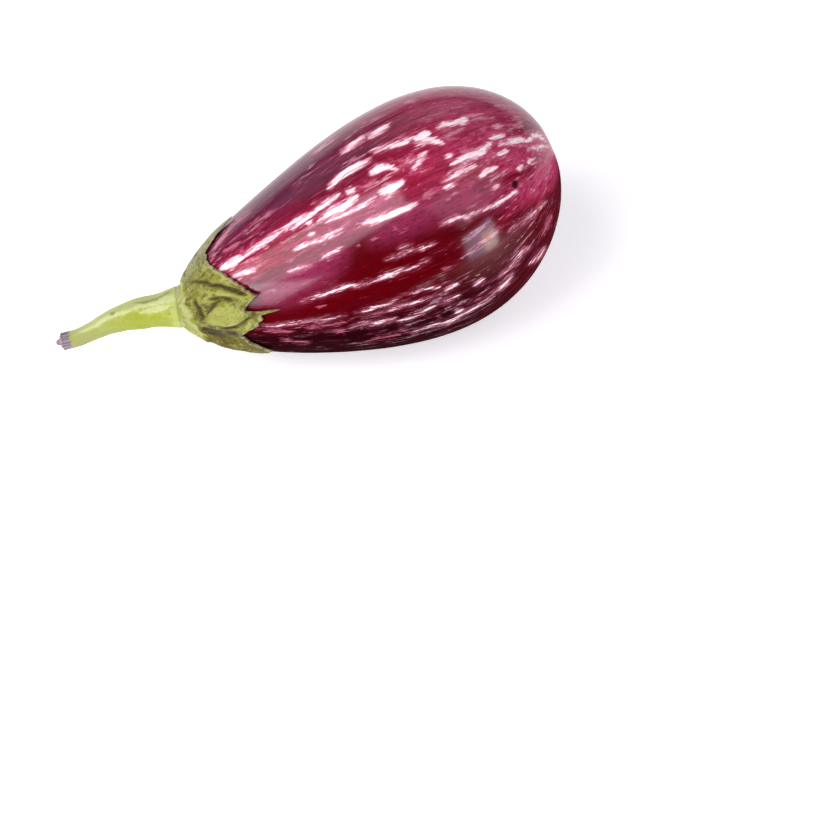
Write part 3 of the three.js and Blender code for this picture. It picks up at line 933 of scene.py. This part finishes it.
def calyx_mesh(settings):
    turns = np.arange(CALYX_TURNS) * ALL_ROUND / CALYX_TURNS
    place = sepal_places(turns)
    place["rim"] = ragged_rim(turns, place["rim"])
    place = {key: value[None, :] for key, value in place.items()}
    around, rim = turns[None, :], place["rim"]
    turn = np.radians(around)

    def lift(down):
        tipwards = smoothstep(down, place["depth"] - 4, place["reach"])
        return GAP + RIM_LIFT * place["lift"] * MM * place["share"] * tipwards

    share = np.linspace(0, 1, CALYX_OUTER_ROWS)[:, None]
    down = lerp(COLLAR["down"], rim, share)
    middle = laid(above_skin(np.radians(down), around, lift(down) + CALYX_THICKNESS["middle"]))
    at, squareness = as_seen(middle, skin_normal(np.radians(down), around) @ LYING.T)
    place["seen"] = smoothstep(squareness, 0.0, 0.15)
    place["furrow"] = smoothstep(streak_field(FURROWS, at, place["seen"]), -0.8, 0.8)
    place["ridge"] = smoothstep(streak_field(RIDGES, at, place["seen"]), -0.9, 0.8)
    height, marks = calyx_relief(down, place)
    wrinkle = settings.wrinkles * WRINKLES["height"] * wrinkles_at(around, down)
    wrinkle *= smoothstep(share, 0.0, 0.15) * (1 - 0.5 * smoothstep(share, 0.9, 1))
    height = lift(down) + np.maximum(height + wrinkle, THINNEST)
    outer = above_skin(np.radians(down), around, height)

    seat = collar_ring(SEAT_RADIUS, around, -SEAT_DEPTH)
    seat_middle = np.broadcast_to(SEAT_CENTRE - SEAT_DEPTH * SEAT_NORMAL, seat.shape)
    collar = ribbed_collar(turns, outer[:1])
    half_rim = 0.5 * CALYX_THICKNESS["rim"]
    edge = above_skin(np.radians(rim) + half_rim / MEAN_RADIUS, around, lift(rim) + half_rim)
    inner_down = rim * np.linspace(1, 0, CALYX_INNER_ROWS)[:, None]
    inner = above_skin(np.radians(inner_down), around, lift(inner_down))
    points = np.concatenate([seat_middle, seat, collar, outer, edge, inner])
    before, after = 2 + CALYX_COLLAR_ROWS, 1 + CALYX_INNER_ROWS

    def spread(grid, first, last):
        """Values of the outer rows, with these values before and after them."""
        rows = np.broadcast_to(grid, (CALYX_OUTER_ROWS, CALYX_TURNS))
        first_rows = np.full((before, CALYX_TURNS), first)
        return np.concatenate([first_rows, rows, np.full((after, CALYX_TURNS), last)])

    collar_down = np.linspace(11, 16, CALYX_COLLAR_ROWS)[:, None]
    downs = [np.full((2, 1), 9), collar_down, down, rim + 1, inner_down]
    downs = np.concatenate([each + 0 * turn for each in downs])
    radius = FIBRES["radius"]
    fibre = [radius * np.cos(turn), radius * np.sin(turn), FIBRES["per_degree"] * downs]
    fuzz_sheen = bell(turned(around, FUZZ_SHEEN["around"]), FUZZ_SHEEN["wide"])
    throat = smoothstep(down, COLLAR["down"] + 1, COLLAR["down"] + 6)
    fields = {
        "place": laid(points) / MM,
        "fibre": np.stack(np.broadcast_arrays(*fibre), -1),
        "rib": spread(marks["rib"], 0.4, 0.3),
        "furrow": spread(marks["furrow"], 0.1, 0.2),
        "wrinkle": spread(wrinkle / WRINKLES["height"], 0.0, 0.0),
        "edge": spread(smoothstep((rim - down) * 0.6, 1.6, 0.0), 0.0, 1.0),
        "throat": spread(1 - throat, 1.0, 0.0),
        "fuzz_sheen": spread(fuzz_sheen * smoothstep(down, *FUZZ_SHEEN["from"]), 0.0, 0.0),
        "shade": spread(between(around, SHADED["front"], SHADED["back"]), 0.3, 0.6),
    }
    mesh_points = laid(points)
    mesh_points[..., 2] = np.maximum(mesh_points[..., 2], 0.2 * MM)
    return ring_mesh("calyx_cup", mesh_points, fields)


def calyx_finish(settings):
    """Dull olive green with lighter ribs, brown furrows and pale dry edges, under a fine fuzz given by
    the shader's sheen. The top side has a painted grey-lilac sheen and the lower side painted shade,
    and the ribs, furrows and wrinkles carry painted light and shade that follow the relief.
    """
    f = Finish("calyx_green", "place")
    rib, furrow, wrinkle, edge = f.fields("rib", "furrow", "wrinkle", "edge")
    blotch = f.grain(3.4, 3.4, 5, 0.7, 0.6)
    fine = f.grain(0.9, 0.9, 4, 0.72, 0.3)
    fibre = f.grain(0.5, 3.6, 4, 0.7, 0.4, f.field("fibre", "Vector")) - 0.5
    # Lighter on the ribs and wrinkle crests: the ribs' paler green, with painted light that follows
    # the relief.
    lightness = rib * 0.45 + wrinkle * 0.45 + (blotch - 0.5) * 5.0 + (fine - 0.5) * 4.0
    lightness = f.smooth(lightness + fibre * 4.0, -0.7, 0.8)
    f.colour = f.mix(lightness, settings.dark, settings.light)
    yellow = f.smooth(f.grain(3.0, 3.0, 3, 0.6), 0.46, 0.62)
    f.paint(yellow * 0.55, CALYX_COLOURS["yellow"])
    # Painted grey-lilac sheen on the top side.
    fuzz_sheen = f.field("fuzz_sheen") * f.smooth(fine + blotch * 0.7, 0.62, 1.0)
    f.paint(fuzz_sheen * 0.5, CALYX_COLOURS["fuzz_sheen"])
    shaded = f.field("shade") * f.smooth(blotch + fine * 0.5, 1.05, 0.62)
    f.paint(shaded * 0.95, CALYX_COLOURS["shade"])

    uneven = (fine + blotch - 1.0) * 0.8 + fibre * 1.6
    # Darker in the furrows and wrinkle troughs: brown tissue with painted shade in the creases.
    sunk = f.smooth(furrow + uneven * 1.5, 0.05, 0.75)
    brown = f.larger(sunk * 0.9, f.smooth(wrinkle, -0.3, -1.0) * 0.5)
    brown = f.larger(brown, f.smooth(blotch + fine * 0.4, 0.60, 0.46) * 0.5)
    f.paint(brown, settings.furrow)
    # The darkest brown, with painted shade, at the bottom of the furrows.
    core = f.smooth(furrow + uneven * 1.6, 0.55, 1.1)
    f.paint(core * 0.8, CALYX_COLOURS["deep_furrow"])
    # Lighter green with painted light along the tops of the ribs.
    top = f.smooth(rib, 0.45, 0.95) * f.smooth(fine, 0.3, 0.5)
    f.paint(top * 0.5, CALYX_COLOURS["ridge"])

    broken = f.smooth(f.grain(1.5, 1.5, 3, 0.6), 0.42, 0.56)
    dry = f.smooth(edge + fine * 0.5, 0.80, 1.25) * broken
    f.paint(dry * 0.75, CALYX_COLOURS["dry"])
    rot = f.smooth(edge, 0.1, 0.9) * f.smooth(f.grain(1.3, 1.3, 3, 0.6), 0.57, 0.63)
    f.paint(rot * 0.75, CALYX_COLOURS["rot"])
    f.paint(f.smooth(f.grain(0.5, 0.5, 2), 0.62, 0.72) * 0.5, CALYX_COLOURS["dots"])
    pale = f.smooth(blotch, 0.35, 0.6)
    pale = f.mix(pale, CALYX_COLOURS["throat"], CALYX_COLOURS["pale_throat"])
    throat = f.smooth(f.field("throat") + (fine - 0.5) * 1.3, 0.40, 0.75)
    f.paint(throat * 0.8, pale)
    height = fine * 0.7 + f.grain(0.35, 0.35, 3) * 0.4 + fibre
    return f.set(
        Base_Color=f.colour,
        Roughness=blotch * 0.15 + 0.62,
        Normal=f.bump(height, 0.5 * MM, 0.9),
        Sheen_Weight=0.16,
        Sheen_Roughness=0.22,
        Sheen_Tint=(0.78, 0.72, 0.82, 1.0),
        Specular_IOR_Level=0.2,
    )


class EGGPLANT_OT_add_calyx(Operator):
    """Add the ribbed calyx in the place of its solid"""

    bl_idname = "eggplant.add_calyx"
    bl_label = "Add Calyx"

    def execute(self, context):
        settings = context.scene.eggplant_calyx
        add_piece("green_calyx", calyx_mesh(settings), calyx_finish(settings), "calyx")
        return {"FINISHED"}


# The stem

STEM_TURNS = 112
STEM_ROWS = 150
END_ROWS = 26
STEM_SUNK = 1.2 * MM
DRY_FROM = (33.5 * MM, 37.5 * MM)
TIRED_FROM = (12 * MM, 34 * MM)
FOOT_LENGTH = 4.5 * MM
# The stem's upper side, painted lighter as lit, and its lower side, painted darker as shade and greyer
# with wear: degrees around and degrees wide.
UPPER_STEM_LIGHT = {"around": 50, "wide": 42}
LOWER_STEM_SHADE_AND_WEAR = {"around": 170, "wide": 60}
DRY_END_PLACES = [0, 0.5, 1.1, 1.5, 2.4, 2.8]  # millimetres, for the dry end's radii
STEM_SLIMMER = 0.985  # room for the relief inside the solid's width

# The painted highlight line and the brown cracks that the photograph shows on the stem, in pixels.
STEM_HIGHLIGHT = {
    "line": (4.5, (78, 333), (95, 326), (106, 318), (123, 312), (141, 306), (153, 304),
             (166, 299), (176, 295)),
    "broad": (8, (160, 302), (178, 294)),
    "middle": (6, (139, 313), (170, 306)),
}
STEM_BROWN = {
    "crack": (2.5, (131, 303), (146, 302), (155, 299), (163, 295), (171, 291)),
    "crack_end": (2.5, (161, 296), (171, 291)),
    "spot": (4.5, (110, 315), (115, 312)),
    "low_fleck": (2.5, (134, 327), (142, 326)),
}
STEM_COLOURS = {
    "worn": (0.32, 0.34, 0.13),
    "painted_highlight": (0.53, 0.60, 0.28),
    "foot": (0.45, 0.50, 0.17),
    "crack": (0.20, 0.16, 0.05),
    "dots": (0.22, 0.20, 0.04),
    "bark": (0.11, 0.08, 0.10),
}


def line_through(points, count):
    """Places and directions at equal steps along a smooth line through points."""
    knots = [2 * points[0] - points[1], *points, 2 * points[-1] - points[-2]]
    pieces = []
    for a, b, c, d in zip(knots, knots[1:], knots[2:], knots[3:]):
        ab, bc, cd = (math.sqrt(np.linalg.norm(q - p)) for p, q in ((a, b), (b, c), (c, d)))
        leave = ((b - a) / ab - (c - a) / (ab + bc) + (c - b) / bc) * bc
        arrive = ((c - b) / bc - (d - b) / (bc + cd) + (d - c) / cd) * bc
        t = np.linspace(0, 1, 60, endpoint=False)[:, None]
        curve = b + t * leave + t**2 * (-3 * b + 3 * c - 2 * leave - arrive)
        pieces.append(curve + t**3 * (2 * b - 2 * c + leave + arrive))
    fine = np.concatenate([*pieces, points[-1][None]])
    along = np.concatenate([[0], np.cumsum(np.linalg.norm(np.diff(fine, axis=0), axis=1))])
    even = np.linspace(0, along[-1], count)
    places = np.stack([np.interp(even, along, fine[:, k]) for k in range(3)], -1)
    return places, unit(np.gradient(places, axis=0)), even


class StemSettings(PropertyGroup):
    light: colour_property(
        "Light Green", "Colour along the top of the stem's ribs", (0.43, 0.49, 0.145)
    )
    dark: colour_property("Green", "Colour between the ribs", (0.29, 0.345, 0.020))
    dry: colour_property("Dry End", "Colour of the shrivelled cut end", (0.34, 0.28, 0.32))


def dry_end():
    """Millimetres beyond the stem's line, and the radius there: a shrunken shoulder and a nub."""
    nub = DRY_END["nub"]
    radii = [STEM_RADIUS["end"], DRY_END["ring"], DRY_END["shoulder"], nub, 0.8 * nub, 0.0]
    beyond = np.linspace(0, DRY_END["nub_length"] + 0.4 * MM, END_ROWS)[1:]
    return beyond, np.interp(beyond / MM, DRY_END_PLACES, radii)


def stem_mesh():
    foot = SEAT_CENTRE + GAP * SEAT_NORMAL
    knots = [foot, *(in_stem_plane(along * MM, off * MM) for along, off in STEM_PATH)]
    places, directions, along = line_through(knots, STEM_ROWS)
    directions[0] = SEAT_NORMAL
    around = np.arange(STEM_TURNS) * ALL_ROUND / STEM_TURNS
    turn = np.radians(around - STEM_PLANE)
    thinned = smoothstep(along, STEM_THINS["from"], STEM_THINS["to"])
    radius = lerp(STEM_RADIUS["middle"], STEM_RADIUS["end"], thinned)
    flare = np.exp(-((along / STEM_FOOT_FLARE) ** 1.3))
    radius += (STEM_RADIUS["foot"] - STEM_RADIUS["middle"]) * flare

    beyond, end_radius = dry_end()
    places = np.concatenate([places, places[-1] + beyond[:, None] * directions[-1]])
    directions = np.concatenate([directions, np.repeat(directions[-1:], len(beyond), axis=0)])
    along = np.concatenate([along, along[-1] + beyond])[:, None]
    radius = np.concatenate([radius, end_radius])[:, None]
    shape = (len(along), STEM_TURNS)

    ribs = np.cos(STEM_RIDGES["count"] * turn)[None, :]
    dry = smoothstep(along, *DRY_FROM)
    at = [2.2 * np.cos(turn), 2.2 * np.sin(turn), along / (5 * MM)]
    at = np.stack(np.broadcast_arrays(*at), -1)
    uneven = 0.05 * roughness_at(at, 1.0) + 0.02 * roughness_at(at, 0.35)
    creases = 0.10 * roughness_at(at * [3.2, 3.2, 0.6], 1.0) + 0.05 * roughness_at(at * 3, 1.0)
    relief = STEM_RIDGES["height"] * ribs * (1 - dry) + uneven + dry * creases
    profile = radius * (1 + relief) * STEM_SLIMMER
    rings = zip(places, directions, profile)
    rings = np.stack([ring_points(*ring, around) for ring in rings])
    sunk = ring_points(foot - STEM_SUNK * SEAT_NORMAL, SEAT_NORMAL, profile[0] * 0.9, around)
    base = np.broadcast_to(foot - STEM_SUNK * SEAT_NORMAL, sunk.shape)
    tip = np.broadcast_to(places[-1], sunk.shape)
    points = np.concatenate([tip[None], rings[-2::-1], sunk[None], base[None]])

    def spread(grid):
        grid = np.broadcast_to(grid, shape)[::-1]
        return np.concatenate([grid, grid[-1:], grid[-1:]])

    middle = STEM_RADIUS["middle"] / MM
    grain = [middle * np.cos(turn), middle * np.sin(turn), along / MM]
    grain = np.stack(np.broadcast_arrays(*grain), -1)
    at, squareness = as_seen(laid(rings), unit(rings - places[:, None]) @ LYING.T)
    seen = smoothstep(squareness, 0.0, 0.15)
    fields = {
        "light": spread(streak_field(STEM_HIGHLIGHT, at, seen)),
        "brown": spread(streak_field(STEM_BROWN, at, seen)),
        "upper": spread(bell(turned(around, UPPER_STEM_LIGHT["around"]), UPPER_STEM_LIGHT["wide"])),
        "lower": spread(bell(turned(around, LOWER_STEM_SHADE_AND_WEAR["around"]), LOWER_STEM_SHADE_AND_WEAR["wide"])),
        "foot": spread(1 - smoothstep(along, 0, FOOT_LENGTH)),
        "grain": np.concatenate([grain[::-1], grain[:1], grain[:1]]),
        "rib": spread(ribs * (1 - dry)),
        "dry": spread(dry),
        "tired": spread(smoothstep(along, *TIRED_FROM)),
    }
    return ring_mesh("stem_rod", laid(points), fields)


def stem_finish(settings):
    """Bright yellow-green with light ribs, small dark dots and a purple-grey dry end, with a painted
    highlight along its top, painted light on its upper side and painted shade on its lower side.
    """
    f = Finish("stem_green", "grain")
    rib, dry, lower, upper = f.fields("rib", "dry", "lower", "upper")
    fibres = f.grain(0.8, 9, 3, 0.6)
    blotch = f.grain(3.0, 6, 4, 0.65, 0.4)
    fine = f.grain(0.6, 1.2, 4, 0.7)
    ragged_by = (fine + blotch - 1.0) * 1.4
    light = rib * 0.07 + fibres * 0.35 + blotch * 0.9 + (fine - 0.5) * 0.7
    # Painted light on the upper side and painted shade on the lower side.
    light = light + upper * 0.35 - lower * 0.3
    f.colour = f.mix(f.smooth(light, 0.35, 0.95), settings.dark, settings.light)
    f.paint(f.field("tired") * (lower * 0.5 + 0.35), STEM_COLOURS["worn"])
    # Painted highlight along the top of the stem and on its upper side.
    painted_highlight = f.smooth(f.field("light") + ragged_by, -0.5, 0.5)
    f.paint(f.larger(painted_highlight * 0.7, upper * 0.3), STEM_COLOURS["painted_highlight"])
    foot = f.smooth(f.field("foot") + ragged_by, 0.3, 0.9)
    f.paint(foot * 0.5, STEM_COLOURS["foot"])
    crack = f.smooth(f.field("brown") + ragged_by, -0.15, 0.3)
    f.paint(crack * 0.7, STEM_COLOURS["crack"])
    f.paint(f.smooth(f.grain(0.7, 0.9, 2, 0.5), 0.67, 0.75) * 0.5, STEM_COLOURS["dots"])
    bark = f.mix(f.smooth(fibres, 0.3, 0.7), STEM_COLOURS["bark"], settings.dry)
    f.paint(f.smooth(dry + (f.grain(1.0, 2.0, 3) - 0.5) * 0.9, 0.35, 0.7), bark)
    height = fibres * 0.7 + f.grain(0.5, 0.8, 3) * 0.5
    return f.set(
        Base_Color=f.colour,
        Roughness=dry * 0.3 + 0.48,
        Normal=f.bump(height, 0.25 * MM, 0.5),
        Sheen_Weight=0.05,
        Sheen_Roughness=0.4,
        Specular_IOR_Level=0.3,
    )


class EGGPLANT_OT_add_stem(Operator):
    """Add the curved stem in the place of its solid"""

    bl_idname = "eggplant.add_stem"
    bl_label = "Add Stem"

    def execute(self, context):
        settings = context.scene.eggplant_stem
        add_piece("curved_stem", stem_mesh(), stem_finish(settings), "stem")
        return {"FINISHED"}


# The stage

IMAGE_SIDE = 828
SENSOR = 36.0
AIM_POINT = Vector((0, 0, 0.037))
AIM_PIXEL = (391.3, 228.9)  # where the aim point shows in the image
FLOOR_RADIUS = 4.0

# Each light: the way to it, how far off it is, its size, its colour, and its power as a share of
# one of the stage's settings.
LIGHTS = {
    "softbox": ((-0.74, -0.06, 0.67), 1.15, (0.78, 1.35), (1.0, 0.94, 0.98), 1.0, "softbox"),
    "side_panel": ((-0.88, -0.36, 0.17), 1.1, (0.62, 0.42), (0.95, 0.88, 1.0), 1.5, "side_panels"),
    "high_panel": ((0.42, -0.42, 0.80), 1.1, (1.0, 0.85), (1.0, 0.97, 0.98), 0.9, "side_panels"),
    "back_panel": ((0.0, 0.93, 0.36), 1.2, (1.5, 0.5), (0.78, 0.82, 1.0), 0.4, "side_panels"),
    "low_panel": ((0.46, -0.86, 0.19), 0.8, (0.34, 0.36), (0.72, 0.74, 1.0), 1.0, "low_panels"),
    "warm_panel": ((0.545, -0.83, 0.10), 0.75, (0.13, 0.25), (1.0, 0.80, 0.36), 0.26, "low_panels"),
}
SKY_WAY = (0.0, 0.45, 0.89)  # where the surroundings are brightest
SKY_EDGE = (0.05, 0.75)


class StageSettings(PropertyGroup):
    azimuth: FloatProperty(
        name="Azimuth", description="How far round the object the camera stands",
        default=math.radians(-21.24), subtype="ANGLE", unit="ROTATION",
    )
    elevation: FloatProperty(
        name="Elevation", description="How far above the floor the camera looks from",
        default=math.radians(60), subtype="ANGLE", unit="ROTATION",
    )
    distance: FloatProperty(
        name="Distance", description="From the camera to the object, along its line of sight",
        default=0.61, subtype="DISTANCE", unit="LENGTH",
    )
    lens: FloatProperty(
        name="Focal Length", description="Focal length of the camera", default=85.0, unit="CAMERA",
    )
    floor: colour_property("Floor Colour", "Colour of the plain floor", (0.90, 0.90, 0.905))
    floor_glow: FloatProperty(
        name="Floor Glow", description="Light that the floor itself gives, as a light table does",
        default=0.42, min=0.0,
    )
    softbox: FloatProperty(
        name="Softbox", description="Power of the large soft light high on the stem's side",
        default=15.0, min=0.0, unit="POWER",
    )
    side_panels: FloatProperty(
        name="Side Panels",
        description="Power of each of the panels at the stem's side, high in front and behind",
        default=3.2, min=0.0, unit="POWER",
    )
    low_panels: FloatProperty(
        name="Low Panels",
        description="Power of the two small panels that the fruit mirrors near its blossom end",
        default=2.3, min=0.0, unit="POWER",
    )
    sky: FloatProperty(
        name="Sky", description="Brightness of the surroundings overhead and behind", default=0.31,
        min=0.0,
    )
    gloom: FloatProperty(
        name="Gloom", description="Brightness of the surroundings in front", default=0.03, min=0.0,
    )


def camera_place(settings):
    """Where the camera stands and how it is turned, so that the aim point shows at its pixel."""
    a, e = settings.azimuth, settings.elevation
    forward = Vector((-math.sin(a) * math.cos(e), math.cos(a) * math.cos(e), -math.sin(e)))
    right = Vector((math.cos(a), math.sin(a), 0))
    up = right.cross(forward)
    per_pixel = SENSOR / settings.lens / IMAGE_SIDE * settings.distance
    centre = IMAGE_SIDE / 2
    place = AIM_POINT - forward * settings.distance
    place -= right * (AIM_PIXEL[0] - centre) * per_pixel
    place += up * (AIM_PIXEL[1] - centre) * per_pixel
    return place, Matrix((right, up, -forward)).transposed()


def as_seen(points, normals):
    """The pixels at which points show, and how squarely each faces the camera: 1 straight at it and
    negative for one that faces away."""
    settings = bpy.context.scene.eggplant_stage
    place, turn = camera_place(settings)
    from_camera = points - np.array(place)
    seen = from_camera @ np.array(turn)
    reach = IMAGE_SIDE * settings.lens / SENSOR / -seen[..., 2:]
    at = IMAGE_SIDE / 2 + seen[..., :2] * reach * np.array([1, -1])
    return at, -(unit(from_camera) * normals).sum(-1)


def add_camera(settings):
    data = bpy.data.cameras.new("stage_camera")
    data.lens = settings.lens
    data.sensor_width = SENSOR
    data.clip_start = 0.01
    camera = bpy.data.objects.new("stage_camera", data)
    place, turn = camera_place(settings)
    camera.matrix_world = Matrix.Translation(place) @ turn.to_4x4()
    bpy.context.scene.collection.objects.link(camera)
    bpy.context.scene.camera = camera


def add_floor(settings):
    mesh = bpy.data.meshes.new("floor")
    turns = np.linspace(0, 2 * math.pi, 96, False)
    rim = [(FLOOR_RADIUS * math.cos(t), FLOOR_RADIUS * math.sin(t), 0) for t in turns]
    mesh.from_pydata(rim, [], [list(range(len(rim)))])
    f = Finish("plain_floor")
    place = f.step("ShaderNodeTexCoord", {}, "Object")
    cloud = f.step("ShaderNodeTexNoise", {"Vector": place, "Scale": 6.0, "Detail": 3.0})
    lighter = [min(1.0, 1.02 * c) for c in settings.floor]
    colour = f.mix(cloud, settings.floor, lighter)
    painted_highlight = {"Emission_Color": (1.0, 1.0, 1.0, 1.0), "Emission_Strength": settings.floor_glow}
    mesh.materials.append(f.set(Base_Color=colour, Roughness=0.9, Specular_IOR_Level=0.15, **painted_highlight))
    floor = bpy.data.objects.new("floor", mesh)
    bpy.context.scene.collection.objects.link(floor)


def add_soft_light(name, way, distance, size, colour, power):
    """A flat panel that faces the object from a way, with its width level."""
    data = bpy.data.lights.new(name, "AREA")
    data.shape = "RECTANGLE"
    data.size, data.size_y = size
    data.energy = power
    data.color = colour
    light = bpy.data.objects.new(name, data)
    back = Vector(way).normalized()
    level = Vector((0, 0, 1)).cross(back).normalized()
    turn = Matrix((level, back.cross(level), back)).transposed()
    light.matrix_world = Matrix.Translation(AIM_POINT + distance * back) @ turn.to_4x4()
    bpy.context.scene.collection.objects.link(light)


def add_surroundings(settings):
    """Surroundings that are pale overhead and behind, and dim in front."""
    world = bpy.data.worlds.new("surroundings")
    world.use_nodes = True
    tree = world.node_tree
    way = tree.nodes.new("ShaderNodeTexCoord").outputs["Generated"]
    toward = tree.nodes.new("ShaderNodeVectorMath")
    toward.operation = "DOT_PRODUCT"
    toward.inputs[1].default_value = SKY_WAY
    strength = tree.nodes.new("ShaderNodeMapRange")
    strength.interpolation_type = "SMOOTHSTEP"
    for socket, value in zip(("From Min", "From Max"), SKY_EDGE):
        strength.inputs[socket].default_value = value
    strength.inputs["To Min"].default_value = settings.gloom
    strength.inputs["To Max"].default_value = settings.sky
    background = tree.nodes["Background"]
    background.inputs["Color"].default_value = (0.92, 0.91, 1.0, 1.0)
    tree.links.new(way, toward.inputs[0])
    tree.links.new(toward.outputs["Value"], strength.inputs["Value"])
    tree.links.new(strength.outputs["Result"], background.inputs["Strength"])
    bpy.context.scene.world = world


class EGGPLANT_OT_add_stage(Operator):
    """Add the plain floor, the soft lights, the surroundings and the camera"""

    bl_idname = "eggplant.add_stage"
    bl_label = "Add Stage"

    def execute(self, context):
        settings = context.scene.eggplant_stage
        add_floor(settings)
        add_camera(settings)
        add_surroundings(settings)
        for name, (*panel, share, setting) in LIGHTS.items():
            add_soft_light(name, *panel, share * getattr(settings, setting))
        context.scene.view_settings.view_transform = "Standard"
        return {"FINISHED"}


class EGGPLANT_PT_pieces(Panel):
    """The eggplant's pieces and its stage"""

    bl_label = "Eggplant"
    bl_idname = "EGGPLANT_PT_pieces"
    bl_space_type = "VIEW_3D"
    bl_region_type = "UI"
    bl_category = "Eggplant"

    def draw(self, context):
        scene = context.scene
        for settings, operator in (
            (scene.eggplant_fruit, EGGPLANT_OT_add_fruit),
            (scene.eggplant_calyx, EGGPLANT_OT_add_calyx),
            (scene.eggplant_stem, EGGPLANT_OT_add_stem),
            (scene.eggplant_stage, EGGPLANT_OT_add_stage),
        ):
            box = self.layout.box()
            for name in settings.__annotations__:
                box.prop(settings, name)
            box.operator(operator.bl_idname)


CLASSES = (
    FruitSettings,
    CalyxSettings,
    StemSettings,
    StageSettings,
    EGGPLANT_OT_add_fruit,
    EGGPLANT_OT_add_calyx,
    EGGPLANT_OT_add_stem,
    EGGPLANT_OT_add_stage,
    EGGPLANT_PT_pieces,
)


def register():
    for each in CLASSES:
        bpy.utils.register_class(each)
    bpy.types.Scene.eggplant_fruit = PointerProperty(type=FruitSettings)
    bpy.types.Scene.eggplant_calyx = PointerProperty(type=CalyxSettings)
    bpy.types.Scene.eggplant_stem = PointerProperty(type=StemSettings)
    bpy.types.Scene.eggplant_stage = PointerProperty(type=StageSettings)


def unregister():
    del bpy.types.Scene.eggplant_stage
    del bpy.types.Scene.eggplant_stem
    del bpy.types.Scene.eggplant_calyx
    del bpy.types.Scene.eggplant_fruit
    for each in reversed(CLASSES):
        bpy.utils.unregister_class(each)


def main():
    register()
    bpy.ops.eggplant.add_stage()
    bpy.ops.eggplant.add_fruit()
    bpy.ops.eggplant.add_calyx()
    bpy.ops.eggplant.add_stem()


if __name__ == "__main__":
    main()
